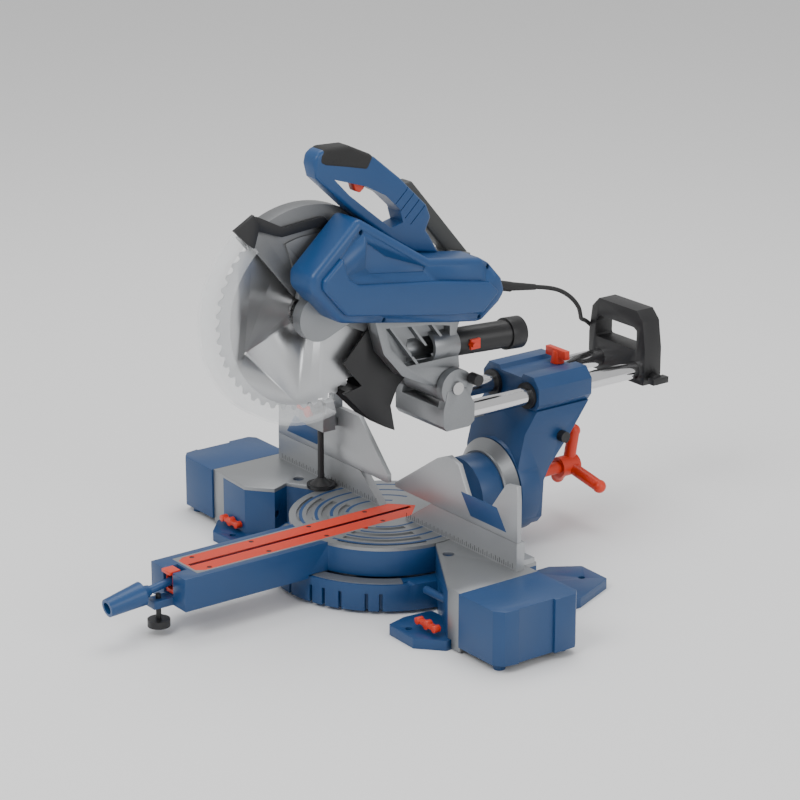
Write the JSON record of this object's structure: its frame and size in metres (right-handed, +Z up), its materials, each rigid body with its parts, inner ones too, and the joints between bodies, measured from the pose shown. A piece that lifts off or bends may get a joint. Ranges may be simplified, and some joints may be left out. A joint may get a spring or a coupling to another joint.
{
  "type": "sliding compound mitre saw",
  "caption": "Sliding compound mitre saw: turntable with front arm, fences, tilting arm with two slide rails and a chop head with guarded blade.",
  "frame": {"origin": "on the bench, under the turntable's axis", "axes": "+X to the operator's right, +Y away from the operator, +Z up"},
  "size_m": [0.852, 1.0071, 0.703],
  "materials": {
    "blue_paint": "satin",
    "blue_plastic": "matte",
    "cast_grey": "cast",
    "machined": "machined",
    "dark_casting": "satin",
    "black_plastic": "matte",
    "orange": "matte",
    "rubber": "matte",
    "chrome": "polished",
    "steel": "brushed",
    "blade_steel": "brushed",
    "clear_guard": "clear",
    "bronze": "sintered"
  },
  "bodies": {
    "base": {"base_casting": "blue_paint", "side_tables": "cast_grey", "mitre_scale": "machined", "pivot_bolt": "steel", "fence_fixed_left": "machined", "fence_fixed_right": "machined", "clamp_column": "cast_grey"},
    "turntable": {"turntable_casting": "blue_paint", "turntable_top": "machined", "kerf_insert": "orange", "insert_screws": "steel", "bevel_scale": "machined", "cord_tube_floor": "rubber", "cord_coil": "rubber", "plug": "rubber"},
    "arm_knob": {"arm_knob": "blue_plastic"},
    "detent_lever": {"detent_lever": "orange"},
    "arm_foot": {"arm_foot": "rubber"},
    "fence_left": {"fence_upper_left": "machined"},
    "fence_right": {"fence_upper_right": "machined"},
    "clamp_spindle": {"clamp_spindle": "steel"},
    "clamp_knob": {"clamp_knob": "black_plastic"},
    "clamp_lever": {"clamp_lever": "orange"},
    "box_left": {"side_box_left": "blue_paint"},
    "box_right": {"side_box_right": "blue_paint"},
    "latch_left": {"box_latch_left": "orange"},
    "latch_right": {"box_latch_right": "orange"},
    "tilt": {"tilt_arm": "blue_paint", "rail_bushes": "bronze", "cord_tube_slide": "rubber"},
    "bevel_lever": {"bevel_lever": "orange"},
    "bevel_stop": {"bevel_stop_pin": "black_plastic"},
    "slide_lock": {"slide_lock": "orange"},
    "carriage": {"rails": "chrome", "arm_carrier": "cast_grey", "rear_bracket": "black_plastic", "chop_pin": "steel"},
    "bracket_knob": {"bracket_knob": "black_plastic"},
    "head_lock": {"head_lock_pin": "black_plastic"},
    "head": {"head_casting": "cast_grey", "upper_guard": "cast_grey", "drive_housing": "cast_grey", "motor_cover": "blue_plastic", "motor": "steel", "drive_belt": "rubber", "handle_shells": "blue_plastic", "grip_pad": "rubber", "carry_handle": "black_plastic", "dust_chute": "black_plastic", "dust_port": "black_plastic", "strain_relief": "rubber", "cord_tube_head": "rubber"},
    "rotor": {"rotor": "steel"},
    "blade": {"blade": "blade_steel", "spindle": "steel"},
    "lower_guard": {"lower_guard": "clear_guard"},
    "guard_link": {"guard_link": "black_plastic"},
    "trigger": {"trigger": "orange"},
    "lock_off": {"lock_off": "orange"},
    "dust_latch": {"dust_latch": "orange"}
  },
  "joints": [
    {"name": "mitre", "type": "hinge", "parent": "base", "child": "turntable", "pos_m": [0, 0, 0.04], "axis": [0, 0, -1], "range_deg": [-50, 50]},
    {"name": "arm_knob_turn", "type": "hinge", "parent": "turntable", "child": "arm_knob", "pos_m": [0, -0.43, 0.0725], "axis": [0, -0.9889, -0.1483], "continuous": true},
    {"name": "detent", "type": "hinge", "parent": "turntable", "child": "detent_lever", "pos_m": [0, -0.389, 0.0625], "axis": [1, 0, 0], "range_deg": [0, 8], "stiffness_Nm_per_rad": 2, "springref_deg": -5.73},
    {"name": "foot_screw", "type": "slide", "parent": "turntable", "child": "arm_foot", "axis": [0, 0, 1], "range_m": [-0.012, 0]},
    {"name": "fence_left_slide", "type": "slide", "parent": "base", "child": "fence_left", "axis": [-1, 0, 0], "range_m": [0, 0.1]},
    {"name": "fence_right_slide", "type": "slide", "parent": "base", "child": "fence_right", "axis": [-1, 0, 0], "range_m": [-0.1, 0]},
    {"name": "clamp_screw", "type": "slide", "parent": "base", "child": "clamp_spindle", "axis": [0, 0, 1], "range_m": [0, 0.035]},
    {"name": "clamp_knob_turn", "type": "hinge", "parent": "base", "child": "clamp_knob", "pos_m": [-0.136, -0.026, 0.239], "axis": [0, -1, 0], "continuous": true},
    {"name": "clamp_release", "type": "hinge", "parent": "base", "child": "clamp_lever", "pos_m": [-0.166, -0.025, 0.222], "axis": [0, -1, 0], "range_deg": [-18, 0], "stiffness_Nm_per_rad": 0.5},
    {"name": "box_left_slide", "type": "slide", "parent": "base", "child": "box_left", "axis": [-1, 0, 0], "range_m": [0, 0.1]},
    {"name": "box_right_slide", "type": "slide", "parent": "base", "child": "box_right", "axis": [1, 0, 0], "range_m": [0, 0.1]},
    {"name": "latch_left_turn", "type": "hinge", "parent": "base", "child": "latch_left", "pos_m": [-0.262, -0.113, 0.028], "axis": [0, 1, 0], "range_deg": [-10, 10]},
    {"name": "latch_right_turn", "type": "hinge", "parent": "base", "child": "latch_right", "pos_m": [0.262, -0.113, 0.028], "axis": [0, 1, 0], "range_deg": [-10, 10]},
    {"name": "bevel", "type": "hinge", "parent": "turntable", "child": "tilt", "pos_m": [0, 0.25, 0.096], "axis": [0, -1, 0], "range_deg": [-30, 30], "deforming": ["cord_tube_floor"]},
    {"name": "bevel_lock", "type": "hinge", "parent": "tilt", "child": "bevel_lever", "pos_m": [0, 0.37, 0.096], "axis": [0, 1, 0], "range_deg": [0, 30]},
    {"name": "bevel_stop", "type": "slide", "parent": "tilt", "child": "bevel_stop", "axis": [1, 0, 0], "range_m": [0, 0.008]},
    {"name": "slide_lock_turn", "type": "hinge", "parent": "tilt", "child": "slide_lock", "pos_m": [0, 0.345, 0.29], "axis": [0, 0, 1], "range_deg": [-60, 60]},
    {"name": "rail_slide", "type": "slide", "parent": "tilt", "child": "carriage", "axis": [0, 1, 0], "range_m": [-0.105, 0.112], "deforming": ["cord_tube_slide"]},
    {"name": "bracket_knob_turn", "type": "hinge", "parent": "carriage", "child": "bracket_knob", "pos_m": [0.08, 0.488, 0.24], "axis": [1, 0, 0], "continuous": true},
    {"name": "head_lock", "type": "slide", "parent": "carriage", "child": "head_lock", "axis": [1, 0, 0], "range_m": [0, 0.012]},
    {"name": "chop", "type": "hinge", "parent": "carriage", "child": "head", "pos_m": [0, 0.095, 0.298], "axis": [-1, 0, 0], "range_deg": [-44.5, 0], "deforming": ["cord_tube_head"]},
    {"name": "blade_spin", "type": "hinge", "parent": "head", "child": "blade", "pos_m": [0, -0.15, 0.451], "axis": [-1, 0, 0], "continuous": true},
    {"name": "rotor_spin", "type": "hinge", "parent": "head", "child": "rotor", "pos_m": [0.06, -0.04, 0.485], "axis": [-1, 0, 0], "continuous": true},
    {"name": "guard", "type": "hinge", "parent": "head", "child": "lower_guard", "pos_m": [0, -0.15, 0.451], "axis": [1, 0, 0], "range_deg": [-100, 0]},
    {"name": "link", "type": "hinge", "parent": "head", "child": "guard_link", "pos_m": [0.022, -0.112, 0.57], "axis": [1, 0, 0], "range_deg": [-12, 0]},
    {"name": "trigger_pull", "type": "hinge", "parent": "head", "child": "trigger", "pos_m": [0.03, -0.066, 0.634], "axis": [-1, 0, 0], "range_deg": [0, 5], "stiffness_Nm_per_rad": 0.6},
    {"name": "lock_off_push", "type": "slide", "parent": "head", "child": "lock_off", "axis": [1, 0, 0], "range_m": [0, 0.003], "stiffness_N_per_m": 300},
    {"name": "dust_latch_turn", "type": "hinge", "parent": "head", "child": "dust_latch", "pos_m": [0.052, 0.128, 0.36], "axis": [1, 0, 0], "range_deg": [0, 10], "stiffness_Nm_per_rad": 0.3}
  ],
  "couplings": [
    {"joint": "guard", "follows": "chop", "ratio": 2.2471},
    {"joint": "link", "follows": "chop", "ratio": 0.2696},
    {"joint": "rotor_spin", "follows": "blade_spin", "ratio": 2}
  ]
}
